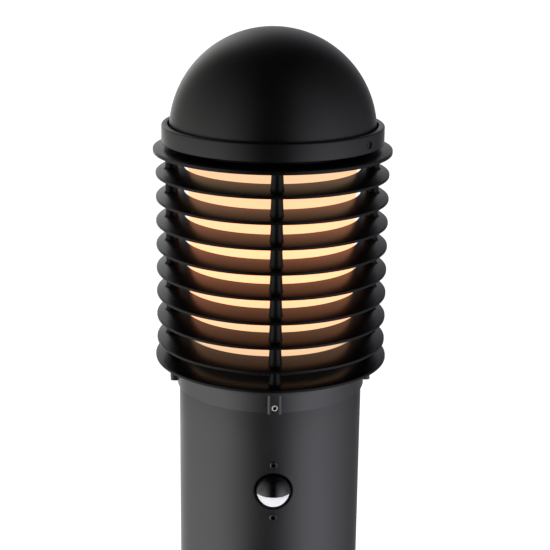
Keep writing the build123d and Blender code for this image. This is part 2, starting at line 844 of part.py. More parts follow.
stub_foot = cone_height(pillar_circle, bottom_ring_radius, deck_top, bottom_ring_slope) + louvre_thickness / 2
bottom_inner_top = cone_height(louvre_bore, bottom_ring_radius, deck_top, bottom_ring_slope) + louvre_thickness
bottom_plate = turned(
    [
        (bottom_ring_radius, deck_top),
        (bottom_ring_radius, deck_top + louvre_thickness),
        (louvre_bore, bottom_inner_top),
        (louvre_bore, deck_top),
    ]
)
with BuildPart() as bottom_ring:
    add(bottom_plate.part)
    add(pillars(stub_foot, louvre_radius, lowest_louvre, louvre_slope))
    add(tie_holes(deck_top, lowest_louvre + 2 * overrun), mode=Mode.SUBTRACT)
save(bottom_ring, "bottom_ring")

for number in range(1, louvre_count + 1):
    rim = highest_louvre - (number - 1) * louvre_pitch
    if number == 1:
        blade_above = (top_ring_radius, top_ring_low, top_ring_slope)
    else:
        blade_above = (louvre_radius, rim + louvre_pitch, louvre_slope)
    save(louvre(rim, *blade_above), f"louvre_{number}")

spigot_foot = cone_height(spigot_radius, top_ring_radius, top_ring_top, top_ring_slope)
plate_inner_low = cone_height(louvre_bore, top_ring_radius, top_ring_low, top_ring_slope)
plate_inner_top = cone_height(louvre_bore, top_ring_radius, top_ring_top, top_ring_slope)
tie_head_top = cone_height(tie_circle + tie_head_radius, top_ring_radius, top_ring_top, top_ring_slope)
tie_head_depth = tie_head_radius - tie_radius

ring_plate = turned(
    [
        (top_ring_radius, top_ring_low),
        (top_ring_radius, top_ring_top),
        (spigot_radius, spigot_foot),
        (spigot_radius, spigot_top),
        (spigot_bore, spigot_top),
        (spigot_bore, plate_inner_top),
        (louvre_bore, plate_inner_top),
        (louvre_bore, plate_inner_low),
    ]
)
with BuildPart() as top_ring:
    add(ring_plate.part)
    for azimuth in pillar_azimuths:
        with BuildSketch(upright_plane(azimuth, tie_circle, tie_head_top)):
            Circle(tie_head_radius + seat_gap)
        extrude(amount=spigot_height, mode=Mode.SUBTRACT)
        with BuildSketch(upright_plane(azimuth, tie_circle, plate_inner_top)):
            Circle(tie_head_radius + spigot_wall)
        extrude(amount=spigot_height, mode=Mode.SUBTRACT)
        with BuildSketch(upright_plane(azimuth, tie_circle, tie_head_top)):
            Circle(tie_head_radius + seat_gap)
        with BuildSketch(upright_plane(azimuth, tie_circle, tie_head_top - tie_head_depth)):
            Circle(tie_radius + seat_gap)
        loft(mode=Mode.SUBTRACT)
    add(tie_holes(top_ring_low, top_ring_top), mode=Mode.SUBTRACT)
save(top_ring, "top_ring")

with BuildPart() as tie_screws:
    for azimuth in pillar_azimuths:
        with BuildSketch(upright_plane(azimuth, tie_circle, deck_low)):
            Circle(tie_radius)
        extrude(amount=tie_head_top - tie_head_depth - deck_low)
        with BuildSketch(upright_plane(azimuth, tie_circle, tie_head_top)):
            Circle(tie_head_radius)
        with BuildSketch(upright_plane(azimuth, tie_circle, tie_head_top - tie_head_depth)):
            Circle(tie_radius)
        loft()
        with BuildSketch(upright_plane(azimuth, tie_circle, tie_head_top)):
            RegularPolygon(hex_socket, 6)
        extrude(amount=-hex_depth, mode=Mode.SUBTRACT)
save(tie_screws, "tie_screws")

# ================================================================ diffuser, lamp and holder
seal_middle = diffuser_foot_radius - diffuser_wall / 2
diffuser_seal = ring(seal_middle + seal_width / 2, seal_middle - seal_width / 2, deck_top, seal_height)
save(diffuser_seal, "diffuser_seal")

shoulder_low = diffuser_top - diffuser_shoulder
inner_shoulder = diffuser_shoulder - diffuser_wall
with BuildPart() as diffuser:
    with BuildSketch(Plane.XZ):
        with BuildLine():
            Line((diffuser_foot_radius - diffuser_wall, diffuser_low), (diffuser_foot_radius, diffuser_low))
            Line((diffuser_foot_radius, diffuser_low), (diffuser_top_radius, shoulder_low))
            CenterArc((diffuser_top_radius - diffuser_shoulder, shoulder_low), diffuser_shoulder, 0, 90)
            Line((diffuser_top_radius - diffuser_shoulder, diffuser_top), (0, diffuser_top))
            Line((0, diffuser_top), (0, diffuser_top - diffuser_wall))
            Line(
                (0, diffuser_top - diffuser_wall),
                (diffuser_top_radius - diffuser_shoulder, diffuser_top - diffuser_wall),
            )
            CenterArc((diffuser_top_radius - diffuser_shoulder, shoulder_low), inner_shoulder, 90, -90)
            Line(
                (diffuser_top_radius - diffuser_wall, shoulder_low),
                (diffuser_foot_radius - diffuser_wall, diffuser_low),
            )
        make_face()
    revolve(axis=Axis.Z)
save(diffuser, "diffuser")

holder_low = deck_top + holder_stand
plate_low = holder_low - bracket_sheet
half_span = holder_bracket_span / 2
foot_end = half_span + holder_foot

with BuildPart() as holder_bracket:
    with BuildSketch(Plane.XZ):
        with BuildLine():
            Polyline(
                (-foot_end, deck_top),
                (-half_span + bracket_sheet, deck_top),
                (-half_span + bracket_sheet, plate_low),
                (half_span - bracket_sheet, plate_low),
                (half_span - bracket_sheet, deck_top),
                (foot_end, deck_top),
                (foot_end, deck_top + bracket_sheet),
                (half_span, deck_top + bracket_sheet),
                (half_span, holder_low),
                (-half_span, holder_low),
                (-half_span, deck_top + bracket_sheet),
                (-foot_end, deck_top + bracket_sheet),
                close=True,
            )
        make_face()
    extrude(amount=holder_bracket_width / 2, both=True)
    with BuildSketch(Plane.XY.offset(deck_top)):
        Circle(lead_radius + lead_hole_gap)
        with Locations((-holder_screw_x, 0), (holder_screw_x, 0)):
            Circle(holder_screw_radius + seat_gap)
    extrude(amount=holder_stand, mode=Mode.SUBTRACT)
save(holder_bracket, "holder_bracket")

holder_screws = level_screws(
    [(-holder_screw_x, 0), (holder_screw_x, 0)],
    holder_screw_radius,
    holder_screw_length,
    holder_screw_head,
    holder_screw_head_height,
    deck_top + bracket_sheet,
)
save(holder_screws, "holder_screws")

contact_bore = lamp_cap_radius + slide_gap
holder_bore = contact_bore + contact_wall
holder_radius = holder_bore + holder_wall
lamp_holder = turned(
    [
        (0, holder_low),
        (holder_radius, holder_low),
        (holder_radius, holder_low + holder_step_low),
        (holder_radius - holder_step, holder_low + holder_step_high),
        (holder_radius - holder_step, holder_low + holder_height),
        (holder_bore, holder_low + holder_height),
        (holder_bore, holder_low + holder_floor),
        (0, holder_low + holder_floor),
    ]
)
save(lamp_holder, "lamp_holder")

contact_low = holder_low + holder_floor
lamp_contact = turned(
    [
        (0, contact_low),
        (holder_bore, contact_low),
        (holder_bore, contact_low + lamp_cap_height - contact_rim),
        (contact_bore, contact_low + lamp_cap_height - contact_rim),
        (contact_bore, contact_low + contact_wall),
        (0, contact_low + contact_wall),
    ]
)
save(lamp_contact, "lamp_contact")

lamp_low = contact_low + contact_wall + slide_gap
cap_joint = lamp_low + lamp_cap_height
with BuildPart() as lamp_cap:
    with BuildSketch(Plane.XY.offset(lamp_low + lamp_tip_height)):
        Circle(lamp_cap_radius)
    extrude(amount=lamp_cap_height - lamp_tip_height)
    with BuildSketch(Plane.XY.offset(lamp_low)):
        Circle(lamp_tip_radius)
    with BuildSketch(Plane.XY.offset(lamp_low + lamp_tip_height)):
        Circle(lamp_cap_radius - lamp_tip_shoulder)
    loft()
save(lamp_cap, "lamp_cap")

bulb_centre = cap_joint + bulb_height - bulb_radius
neck_radius = lamp_cap_radius - bulb_neck_inset
bulb_inner = bulb_radius - bulb_wall


def bulb_side(radius, neck):
    """Side of the bulb from its crown down to its neck, as one smooth line."""
    crown = CenterArc((0, bulb_centre), radius, 90, -90)
    side = Bezier(
        (radius, bulb_centre),
        (radius, bulb_centre - bulb_crown_pull),
        (neck, cap_joint + bulb_neck_pull),
        (neck, cap_joint),
    )
    return crown, side


with BuildPart() as lamp_bulb:
    with BuildSketch(Plane.XZ):
        with BuildLine():
            bulb_side(bulb_radius, neck_radius)
            Line((neck_radius, cap_joint), (neck_radius - bulb_wall, cap_joint))
            bulb_side(bulb_inner, neck_radius - bulb_wall)
            Line((0, bulb_centre + bulb_inner), (0, bulb_centre + bulb_radius))
        make_face()
    revolve(axis=Axis.Z)
save(lamp_bulb, "lamp_bulb")

deck_grommet = turned(
    [
        (lead_radius + seat_gap, deck_low),
        (deck_hole_radius, deck_low),
        (deck_hole_radius, deck_top),
        (deck_hole_radius + grommet_flange, deck_top),
        (deck_hole_radius + grommet_flange, deck_top + grommet_lip),
        (lead_radius + seat_gap, deck_top + grommet_lip),
    ]
)
save(deck_grommet, "deck_grommet")

lamp_lead = lead([(0, 0, deck_low), (0, 0, holder_low)], [])
save(lamp_lead, "lamp_lead")

# ================================================================ cap
cap_screw_height = cap_low + cap_screw_rise
cap_screw_azimuths = [cap_screw_azimuth + i * 360 / cap_screw_count for i in range(cap_screw_count)]

with BuildPart() as cap_ring:
    with BuildSketch(Plane.XZ):
        with BuildLine():
            Polyline(
                (spigot_radius + slide_gap, cap_low),
                (cap_ring_radius, cap_low),
                (cap_ring_radius, cap_top),
                (dome_radius + cap_groove, cap_top),
                (dome_radius + cap_groove, cap_top - cap_groove_depth),
                (dome_radius + seat_gap, cap_top - cap_groove_depth),
                (dome_radius + seat_gap, dome_low),
                (spigot_radius + slide_gap, dome_low),
                close=True,
            )
        make_face()
    revolve(axis=Axis.Z)
    outer_rims = cap_ring.edges().filter_by(GeomType.CIRCLE).sort_by(SortBy.RADIUS)[-2:].sort_by(Axis.Z)
    fillet(outer_rims[-1], radius=cap_edge_fillet)
    bottom_rim = cap_ring.edges().filter_by(GeomType.CIRCLE).group_by(Axis.Z)[0].sort_by(SortBy.RADIUS)[-1]
    fillet(bottom_rim, radius=cap_foot_fillet)
    for azimuth in cap_screw_azimuths:
        with BuildSketch(radial_plane(azimuth, dome_bore, cap_screw_height)):
            Circle(cap_screw_radius + thread_gap)
        extrude(amount=cap_ring_radius - dome_bore + overrun, mode=Mode.SUBTRACT)
save(cap_ring, "cap_ring")

with BuildPart() as dome:
    with BuildSketch(Plane.XZ):
        with BuildLine():
            Line((dome_bore, dome_low), (dome_radius, dome_low))
            Line((dome_radius, dome_low), (dome_radius, dome_centre))
            CenterArc((0, dome_centre), dome_radius, 0, 90)
            Line((0, dome_centre + dome_radius), (0, dome_centre + dome_bore))
            CenterArc((0, dome_centre), dome_bore, 90, -90)
            Line((dome_bore, dome_centre), (dome_bore, dome_low))
        make_face()
    revolve(axis=Axis.Z)
    with BuildSketch(Plane.XZ):
        with Locations(((bead_bore + dome_bore + dome_bead_root) / 2, bead_low + dome_bead_height / 2)):
            Rectangle(dome_bore + dome_bead_root - bead_bore, dome_bead_height)
    revolve(axis=Axis.Z)
    with BuildSketch(Plane.XY.offset(bead_low)):
        with PolarLocations(hold_screw_circle, hold_screw_count):
            Circle(hold_screw_radius + thread_gap)
    extrude(amount=dome_bead_height - hold_screw_cover, mode=Mode.SUBTRACT)
    for azimuth in cap_screw_azimuths:
        with BuildSketch(radial_plane(azimuth, spigot_bore, cap_screw_height)):
            Circle(cap_screw_radius + seat_gap)
        extrude(amount=dome_radius, mode=Mode.SUBTRACT)
save(dome, "dome")

cap_screws = set_screws(
    cap_screw_azimuths, cap_screw_radius, dome_bore, cap_ring_radius - screw_sunk, cap_screw_height, hex_socket
)
save(cap_screws, "cap_screws")

with BuildPart() as cap_seal:
    with BuildSketch(Plane.XY.offset(spigot_top)):
        Circle(spigot_radius)
        Circle(spigot_bore, mode=Mode.SUBTRACT)
    extrude(amount=cap_seal_height)
save(cap_seal, "cap_seal")

with BuildPart() as hold_down_ring:
    with BuildSketch(Plane.XY.offset(hold_ring_low)):
        Circle(hold_ring_radius)
        Circle(hold_ring_bore, mode=Mode.SUBTRACT)
        with PolarLocations(hold_screw_circle, hold_screw_count):
            Circle(hold_screw_radius + seat_gap, mode=Mode.SUBTRACT)
    extrude(amount=hold_ring_thickness)
save(hold_down_ring, "hold_down_ring")

hold_down_pad = ring(
    hold_ring_bore + hold_pad_width, hold_ring_bore, hold_ring_low - hold_pad_height, hold_pad_height
)
save(hold_down_pad, "hold_down_pad")

hold_down_screws = level_screws(
    [
        (hold_screw_circle * cos(radians(i * 360 / hold_screw_count)),
         hold_screw_circle * sin(radians(i * 360 / hold_screw_count)))
        for i in range(hold_screw_count)
    ],
    hold_screw_radius,
    dome_bead_height - hold_screw_cover,
    hold_screw_head,
    hold_screw_head_height,
    hold_ring_low,
    up=-1,
)
save(hold_down_screws, "hold_down_screws")
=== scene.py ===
import json
from math import atan2, cos, pi, radians, sin, tan

import bmesh
import bpy
from mathutils import Matrix, Vector


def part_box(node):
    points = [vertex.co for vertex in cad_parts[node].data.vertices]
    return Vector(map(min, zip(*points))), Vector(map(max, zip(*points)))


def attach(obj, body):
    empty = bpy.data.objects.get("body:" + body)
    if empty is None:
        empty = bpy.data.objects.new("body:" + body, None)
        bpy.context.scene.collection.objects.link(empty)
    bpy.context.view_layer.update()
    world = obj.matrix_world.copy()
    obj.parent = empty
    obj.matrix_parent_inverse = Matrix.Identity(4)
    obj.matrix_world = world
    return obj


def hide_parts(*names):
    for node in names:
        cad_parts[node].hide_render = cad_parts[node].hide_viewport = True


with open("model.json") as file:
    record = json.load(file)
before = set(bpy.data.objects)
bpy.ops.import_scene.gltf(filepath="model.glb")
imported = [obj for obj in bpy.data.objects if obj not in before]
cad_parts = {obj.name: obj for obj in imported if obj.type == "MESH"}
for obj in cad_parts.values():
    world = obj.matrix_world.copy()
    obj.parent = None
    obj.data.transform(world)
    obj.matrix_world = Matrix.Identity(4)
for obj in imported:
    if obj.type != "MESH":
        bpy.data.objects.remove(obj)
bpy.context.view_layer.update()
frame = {"nodes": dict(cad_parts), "record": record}

MM = 0.001
UP = Vector((0, 0, 1))
NODES = frame["nodes"]
BODY_OF = {node: body for body, nodes in frame["record"]["behaviour"]["bodies"].items() for node in nodes}
SLOT_OF = {part["node"]: part["material_slot"] for part in frame["record"]["subparts"]}
PILLAR_AZIMUTHS = (0, 90, 180, 270)
ROUND_STEPS = 192


# ------------------------------------------------------------------ shader arithmetic
class Value:
    """A node's output that takes part in arithmetic and adds the Math nodes it needs."""

    def __init__(self, finish, socket):
        self.finish = finish
        self.socket = socket

    def _math(self, operation, *operands):
        inputs = dict(enumerate(operands))
        return self.finish.node("ShaderNodeMath", {"operation": operation}, inputs)

    def __add__(self, other):
        return self._math("ADD", self, other)

    __radd__ = __add__

    def __mul__(self, other):
        return self._math("MULTIPLY", self, other)

    __rmul__ = __mul__

    def __sub__(self, other):
        return self._math("SUBTRACT", self, other)

    def __rsub__(self, other):
        return self._math("SUBTRACT", other, self)

    def __truediv__(self, other):
        return self._math("DIVIDE", self, other)

    def __pow__(self, other):
        return self._math("POWER", self, other)

    def absolute(self):
        return self._math("ABSOLUTE", self)


class Finish:
    """A material or world under construction."""

    def __init__(self, owner):
        owner.use_nodes = True
        self.owner = owner
        self.tree = owner.node_tree
        self.tree.nodes.clear()

    def node(self, kind, settings=None, inputs=None, output=0):
        """Add one node: its settings first, then its sockets, and return one of its outputs.

        The setting called ramp is a list of (place, colour) stops.
        """
        made = self.tree.nodes.new(kind)
        for name, setting in (settings or {}).items():
            if name == "ramp":
                stops = made.color_ramp.elements
                stops[0].color = setting[0][1]
                stops[1].color = setting[-1][1]
                for place, colour in setting[1:-1]:
                    stops.new(place).color = colour
            else:
                setattr(made, name, setting)
        for name, given in (inputs or {}).items():
            if isinstance(given, Value):
                self.tree.links.new(given.socket, made.inputs[name])
            else:
                made.inputs[name].default_value = given
        return Value(self, made.outputs[output] if made.outputs else None)

    def place(self, scale=(1, 1, 1)):
        """Object coordinates in metres, scaled."""
        spot = self.node("ShaderNodeTexCoord", output="Object")
        return self.node("ShaderNodeMapping", None, {"Vector": spot, "Scale": scale})

    def noise(self, where, scale, detail=2.0, roughness=0.5):
        sockets = {"Vector": where, "Scale": scale, "Detail": detail, "Roughness": roughness}
        return self.node("ShaderNodeTexNoise", None, sockets)

    def remap(self, value, low, high, to_low=0.0, to_high=1.0, smooth=True):
        kind = {"interpolation_type": "SMOOTHSTEP" if smooth else "LINEAR"}
        sockets = {"Value": value, "From Min": low, "From Max": high, "To Min": to_low, "To Max": to_high}
        return self.node("ShaderNodeMapRange", kind, sockets)

    def blend(self, factor, first, second):
        """Mix of two colours, each a link or three numbers."""
        colours = [given if isinstance(given, Value) else (*given, 1.0) for given in (first, second)]
        sockets = {"Factor": factor, 6: colours[0], 7: colours[1]}
        return self.node("ShaderNodeMix", {"data_type": "RGBA"}, sockets, output=2)

    def bump(self, height, strength, distance):
        sockets = {"Height": height, "Strength": strength, "Distance": distance}
        return self.node("ShaderNodeBump", None, sockets)

    def surface(self, **inputs):
        """Close the material with one Principled shader."""
        sockets = {name.replace("_", " "): given for name, given in inputs.items()}
        shader = self.node("ShaderNodeBsdfPrincipled", None, sockets)
        self.node("ShaderNodeOutputMaterial", None, {"Surface": shader})
        return self.owner


def finish(name):
    return Finish(bpy.data.materials.new(name))


# ------------------------------------------------------------------ finishes
def powder_coat(name, dark, light, roughness, grain, depth, specular=0.5):
    """Textured powder coat: a fine orange peel, with slow changes of tone and gloss."""
    coat = finish(name)
    where = coat.place()
    cloud = coat.noise(where, 22.0, 3.0)
    peel = coat.noise(where, grain, 2.0, 0.6)
    speck = coat.noise(where, grain * 3.1, 1.0)
    tone = coat.remap(cloud * 0.6 + peel * 0.4, 0.3, 0.7)
    relief = peel * 0.7 + speck * 0.3
    return coat.surface(
        Base_Color=coat.blend(tone, dark, light),
        Roughness=coat.remap(cloud * 0.5 + speck * 0.5, 0.3, 0.7, roughness - 0.05, roughness + 0.05),
        Normal=coat.bump(relief, 0.35, depth),
        Specular_IOR_Level=specular,
    )


def turned_steel(name, colour, roughness, metallic=1.0):
    """Machined stainless steel with fine turning rings and light smudges."""
    steel = finish(name)
    where = steel.place()
    ring = steel.noise(steel.place(scale=(1, 1, 14)), 900.0, 2.0)
    smudge = steel.noise(where, 260.0, 3.0)
    tone = steel.remap(smudge, 0.3, 0.75)
    return steel.surface(
        Base_Color=steel.blend(tone, [0.7 * part for part in colour], colour),
        Metallic=metallic,
        Roughness=steel.remap(smudge * 0.5 + ring * 0.5, 0.3, 0.7, roughness - 0.08, roughness + 0.1),
        Normal=steel.bump(ring, 0.15, 0.00003),
    )


def moulded(name, dark, light, roughness, grain=1400.0, **fixed):
    """Moulded plastic or rubber with a faint skin."""
    plastic = finish(name)
    where = plastic.place()
    cloud = plastic.noise(where, 60.0, 2.0)
    skin = plastic.noise(where, grain, 2.0)
    return plastic.surface(
        Base_Color=plastic.blend(plastic.remap(cloud, 0.3, 0.7), dark, light),
        Roughness=plastic.remap(skin * 0.5 + cloud * 0.5, 0.3, 0.7, roughness - 0.04, roughness + 0.06),
        Normal=plastic.bump(skin, 0.2, 0.00004),
        **fixed,
    )


def lit_opal(name, low, high, ends, middle, strength):
    """Opal diffuser lit from inside by emission, its light painted by height: warmest beside the lamp, paler
    at both ends, and a painted shade at its foot in its seat.
    """
    opal = finish(name)
    where = opal.place()
    height = opal.node("ShaderNodeSeparateXYZ", None, {"Vector": where}, output="Z")
    share = (height - low) / (high - low)
    belly = 1.0 - (share * 2.0 - 1.0).absolute() ** 1.6
    mottle = opal.noise(where, 38.0, 3.0)
    frost = opal.noise(where, 2600.0, 2.0)
    glow = opal.remap(belly * 0.9 + mottle * 0.1, 0.28, 0.95, smooth=False)
    # Painted shade: the glow fades to none at the foot, where the diffuser sits in its seat.
    seat_shade = opal.remap(height, low + 10 * MM, low + 13.5 * MM)
    light = opal.blend(glow, ends, middle)
    return opal.surface(
        Base_Color=(0.16, 0.15, 0.14, 1.0),
        Roughness=opal.remap(frost, 0.3, 0.7, 0.5, 0.62),
        Emission_Color=opal.blend(seat_shade, (0.0, 0.0, 0.0), light),
        Emission_Strength=strength,
        Normal=opal.bump(frost, 0.15, 0.00003),
        Specular_IOR_Level=0.3,
    )


PAINT = {
    "graphite_paint": powder_coat("graphite_powder_coat", (0.009, 0.009, 0.011), (0.014, 0.014, 0.016),
                                  0.37, 1500.0, 0.00008, 0.58),
    "satin_black": powder_coat("satin_black_coat", (0.0015, 0.0015, 0.0018), (0.003, 0.003, 0.0035),
                               0.3, 1900.0, 0.00004, 0.14),
    "cap_black": powder_coat("cap_black_coat", (0.002, 0.002, 0.0022), (0.004, 0.004, 0.0042),
                             0.32, 1900.0, 0.00005, 0.3),
    "stainless": turned_steel("stainless_steel", (0.95, 0.92, 0.84), 0.5, 0.35),
    "dark_steel": turned_steel("dark_grey_steel", (0.1, 0.1, 0.1), 0.35),
    "zinc_steel": turned_steel("zinc_plated_steel", (0.5, 0.51, 0.53), 0.38),
    "brass": turned_steel("brass_contact", (0.72, 0.5, 0.2), 0.3),
    "white_plastic": moulded("white_moulding", (0.7, 0.69, 0.66), (0.8, 0.79, 0.76), 0.42),
    "black_plastic": moulded("black_moulding", (0.008, 0.008, 0.009), (0.014, 0.014, 0.015), 0.4),
    "gloss_black": moulded("gloss_black_plastic", (0.001, 0.001, 0.001), (0.002, 0.002, 0.002), 0.13, 500.0,
                           Specular_IOR_Level=0.6),
    # The lens carries a faint painted glow that brightens it; the sensor itself gives no light.
    "sensor_white": moulded("milky_lens_with_painted_glow", (0.8, 0.8, 0.84), (0.96, 0.96, 1.0), 0.22, 900.0,
                            Emission_Color=(0.98, 0.98, 1.0, 1.0), Emission_Strength=0.09),
    "seal_rubber": moulded("seal_rubber", (0.012, 0.012, 0.012), (0.02, 0.02, 0.02), 0.62, 800.0),
    "lead_sheath": moulded("lead_sheath", (0.03, 0.03, 0.03), (0.045, 0.045, 0.045), 0.5, 700.0),
    "lamp_metal": turned_steel("nickelled_lamp_cap", (0.7, 0.69, 0.66), 0.25),
}


# ------------------------------------------------------------------ mesh making
def radius_of(node):
    """Largest radius of a CAD node that is round about the post's axis."""
    low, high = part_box(node)
    return max(high.x - low.x, high.y - low.y) / 2


def middle_of(node):
    """Height of the middle of a CAD node."""
    low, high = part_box(node)
    return (low.z + high.z) / 2


def link(name, bm):
    """Turn a bmesh into an object of the scene."""
    mesh = bpy.data.meshes.new(name)
    bm.to_mesh(mesh)
    bm.free()
    made = bpy.data.objects.new(name, mesh)
    bpy.context.scene.collection.objects.link(made)
    return made


def finish_mesh(name, bm, node, paint=None, sharp=32):
    """Turn a bmesh into the piece that stands in for a CAD node, on its body and in its finish."""
    piece = link(name, bm)
    mesh = piece.data
    for face in mesh.polygons:
        face.use_smooth = True
    mesh.set_sharp_from_angle(angle=radians(sharp))
    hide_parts(node)
    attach(piece, BODY_OF[node])
    mesh.materials.append(paint or PAINT[SLOT_OF[node]])


def lathe(outline, steps=ROUND_STEPS, bevel=0.0, edge_angle=25, segments=3):
    """Turn a closed outline of (radius, height) corners about Z, then round its edges."""
    bm = bmesh.new()
    corners = [bm.verts.new((r, 0, z)) for r, z in outline]
    edges = [bm.edges.new((a, b)) for a, b in zip(corners, corners[1:])]
    if outline[0][0] > 1e-7 or outline[-1][0] > 1e-7:
        edges.append(bm.edges.new((corners[-1], corners[0])))
    bmesh.ops.spin(bm, geom=corners + edges, cent=(0, 0, 0), axis=(0, 0, 1), angle=2 * pi, steps=steps,
                   use_merge=True, use_normal_flip=False, use_duplicate=False)
    bmesh.ops.remove_doubles(bm, verts=bm.verts, dist=1e-7)
    bmesh.ops.recalc_face_normals(bm, faces=bm.faces)
    if bevel:
        soften(bm, bevel, edge_angle, segments)
    return bm


def soften(bm, width, edge_angle=25, segments=3):
    """Round every edge sharper than edge_angle."""
    sharp = [edge for edge in bm.edges if edge.is_manifold and edge.calc_face_angle(0) > radians(edge_angle)]
    bmesh.ops.bevel(bm, geom=sharp, offset=width, offset_type="OFFSET", affect="EDGES", segments=segments,
                    profile=0.5, material=-1, clamp_overlap=True)


def arc(centre, radius, start, end, steps):
    """Points along an arc in the (radius, height) plane, angles from the radius axis."""
    return [
        (centre[0] + radius * cos(radians(start + (end - start) * i / steps)),
         centre[1] + radius * sin(radians(start + (end - start) * i / steps)))
        for i in range(steps + 1)
    ]


def outward(azimuth):
    """Direction from the post's axis; 0 is the front."""
    return Vector((sin(radians(azimuth)), -cos(radians(azimuth)), 0))


def facing(direction, place):
    """Matrix that turns local +Z along a direction and moves the origin to a place."""
    return Matrix.Translation(place) @ direction.to_track_quat("Z", "Y").to_matrix().to_4x4()


def join(target, source, matrix=Matrix.Identity(4)):
    """Add a copy of one bmesh to another, moved by a matrix."""
    mesh = bpy.data.meshes.new("part")
    source.to_mesh(mesh)
    mesh.transform(matrix)
    target.from_mesh(mesh)
    bpy.data.meshes.remove(mesh)


def cut_away(bm, tool):
    """Subtract one closed bmesh from another and return what is left. Both are used up."""
    body = link("body", bm)
    cutter = link("cutter", tool)
    step = body.modifiers.new("cut", "BOOLEAN")
    step.object = cutter
    step.operation = "DIFFERENCE"
    step.solver = "EXACT"
    bpy.context.view_layer.update()
    result = bpy.data.meshes.new_from_object(body.evaluated_get(bpy.context.evaluated_depsgraph_get()))
    bpy.data.objects.remove(body)
    bpy.data.objects.remove(cutter)
    left = bmesh.new()
    left.from_mesh(result)
    bpy.data.meshes.remove(result)
    return left


def bore(bm, holes):
    """Cut round holes. Each is (radius, depth, matrix): a plug along local Z, centred on the origin."""
    plugs = bmesh.new()
    for radius, depth, matrix in holes:
        bmesh.ops.create_cone(plugs, cap_ends=True, segments=48, radius1=radius, radius2=radius, depth=depth,
                              matrix=matrix)
    return cut_away(bm, plugs)


# ------------------------------------------------------------------ screws
def set_screw(radius, length, socket):
    """Headless screw along +Z with its face at z=0 and a hexagon socket in it."""
    bm = bmesh.new()
    steps = 48
    chamfer = 0.2 * radius
    socket_depth = 1.1 * radius
    socket_flare = 1.08
    rings = [(radius - chamfer, 0.0), (radius, -chamfer), (radius, -length)]
    loops = []
    for ring_radius, height in rings:
        made = bmesh.ops.create_circle(bm, cap_ends=False, segments=steps, radius=ring_radius,
                                       matrix=Matrix.Translation((0, 0, height)))
        loops.append(loop_edges(made["verts"]))
    for upper, lower in zip(loops, loops[1:]):
        bmesh.ops.bridge_loops(bm, edges=upper + lower)
    hexagon = []
    for depth, share in ((0.0, socket_flare), (0.1 * radius, 1.0), (socket_depth, 1.0)):
        made = bmesh.ops.create_circle(bm, cap_ends=False, segments=steps, radius=socket * share,
                                       matrix=Matrix.Translation((0, 0, -depth)))
        for vert in made["verts"]:
            turn = atan2(vert.co.y, vert.co.x) % (pi / 3) - pi / 6
            vert.co.xy *= cos(pi / 6) / cos(turn)
        hexagon.append(loop_edges(made["verts"]))
    bmesh.ops.bridge_loops(bm, edges=loops[0] + hexagon[0])
    for upper, lower in zip(hexagon, hexagon[1:]):
        bmesh.ops.bridge_loops(bm, edges=upper + lower)
    bmesh.ops.holes_fill(bm, edges=hexagon[-1] + loops[-1], sides=0)
    bmesh.ops.recalc_face_normals(bm, faces=bm.faces)
    return bm


def loop_edges(verts):
    """The edges whose both ends are among these vertices, always in the same order."""
    chosen = set(verts)
    edges = (edge for vert in verts for edge in vert.link_edges if edge.other_vert(vert) in chosen)
    return list(dict.fromkeys(edges))


def hole_rims(bm, places, inner, depth):
    """Thin countersunk rims around screw holes, in the finish of the piece that they are on."""
    proud = 0.05 * MM
    land = 0.4 * MM
    width = 0.55 * MM
    profile = [(inner, -depth), (inner + land, proud), (inner + width, proud), (inner + width, -depth)]
    rim = lathe(profile, steps=48)
    for place, direction in places:
        join(bm, rim, facing(direction, place))
    rim.free()


def screws(name, node, places, radius, length, socket, paint=None):
    """Several set screws as one piece. places are (position of the face, outward direction)."""
    group = bmesh.new()
    single = set_screw(radius, length, socket)
    for place, direction in places:
        join(group, single, facing(direction, place))
    single.free()
    finish_mesh(name, group, node, paint)


# ------------------------------------------------------------------ base and post
def base():
    low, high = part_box("base_flange")
    rim = radius_of("base_flange")
    plate_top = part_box("post_tube")[0].z
    socket_bore = radius_of("post_tube") + 0.1 * MM
    socket_wall = 4.3 * MM
    cable_hole = 15 * MM
    outer = socket_bore + socket_wall
    foot = 5 * MM
    fillet = arc((outer + foot, plate_top + foot), foot, 270, 180, 8)
    outline = [
        (cable_hole, low.z), (rim, low.z), (rim, plate_top), *fillet, (outer, high.z),
        (socket_bore, high.z), (socket_bore, plate_top), (cable_hole, plate_top),
    ]
    bm = lathe(outline, bevel=1.2 * MM, edge_angle=50)
    anchor_circle = 74 * MM
    anchor_radius = 4.5 * MM
    anchors = [
        (anchor_radius, 40 * MM, Matrix.Translation(outward(azimuth) * anchor_circle))
        for azimuth in (45, 135, 225, 315)
    ]
    screw_z = middle_of("base_grub_screws")
    screw_azimuths = (60, 180, 300)
    screw_hole = 2.6 * MM
    sockets = [
        (screw_hole, 12 * MM, facing(outward(azimuth), outward(azimuth) * outer + UP * screw_z))
        for azimuth in screw_azimuths
    ]
    finish_mesh("base_casting", bore(bm, anchors + sockets), "base_flange")
    sunk = 0.4 * MM
    places = [(outward(azimuth) * (outer - sunk) + UP * screw_z, outward(azimuth))
              for azimuth in screw_azimuths]
    screws("base_socket_screws", "base_grub_screws", places, 2.5 * MM, 4 * MM, 1.44 * MM)


def sensor_centre():
    """The point on the post's axis at the sensor's height."""
    return UP * middle_of("sensor_bezel")


def sensor_hole():
    """Radius of the opening in the post, just wider than the bezel."""
    low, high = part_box("sensor_bezel")
    return (high.z - low.z) / 2 + 0.1 * MM


def post():
    low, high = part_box("post_tube")
    radius = radius_of("post_tube")
    wall = 3 * MM
    outline = [(radius - wall, low.z), (radius, low.z)]
    levels = 24
    outline += [(radius, low.z + (high.z - low.z) * i / levels) for i in range(1, levels + 1)]
    outline.append((radius - wall, high.z))
    bm = lathe(outline, steps=256, bevel=0.3 * MM, edge_angle=50, segments=2)
    front = outward(0)
    centre = sensor_centre() + front * radius
    finish_mesh("post", bore(bm, [(sensor_hole(), 14 * MM, facing(front, centre))]), "post_tube")


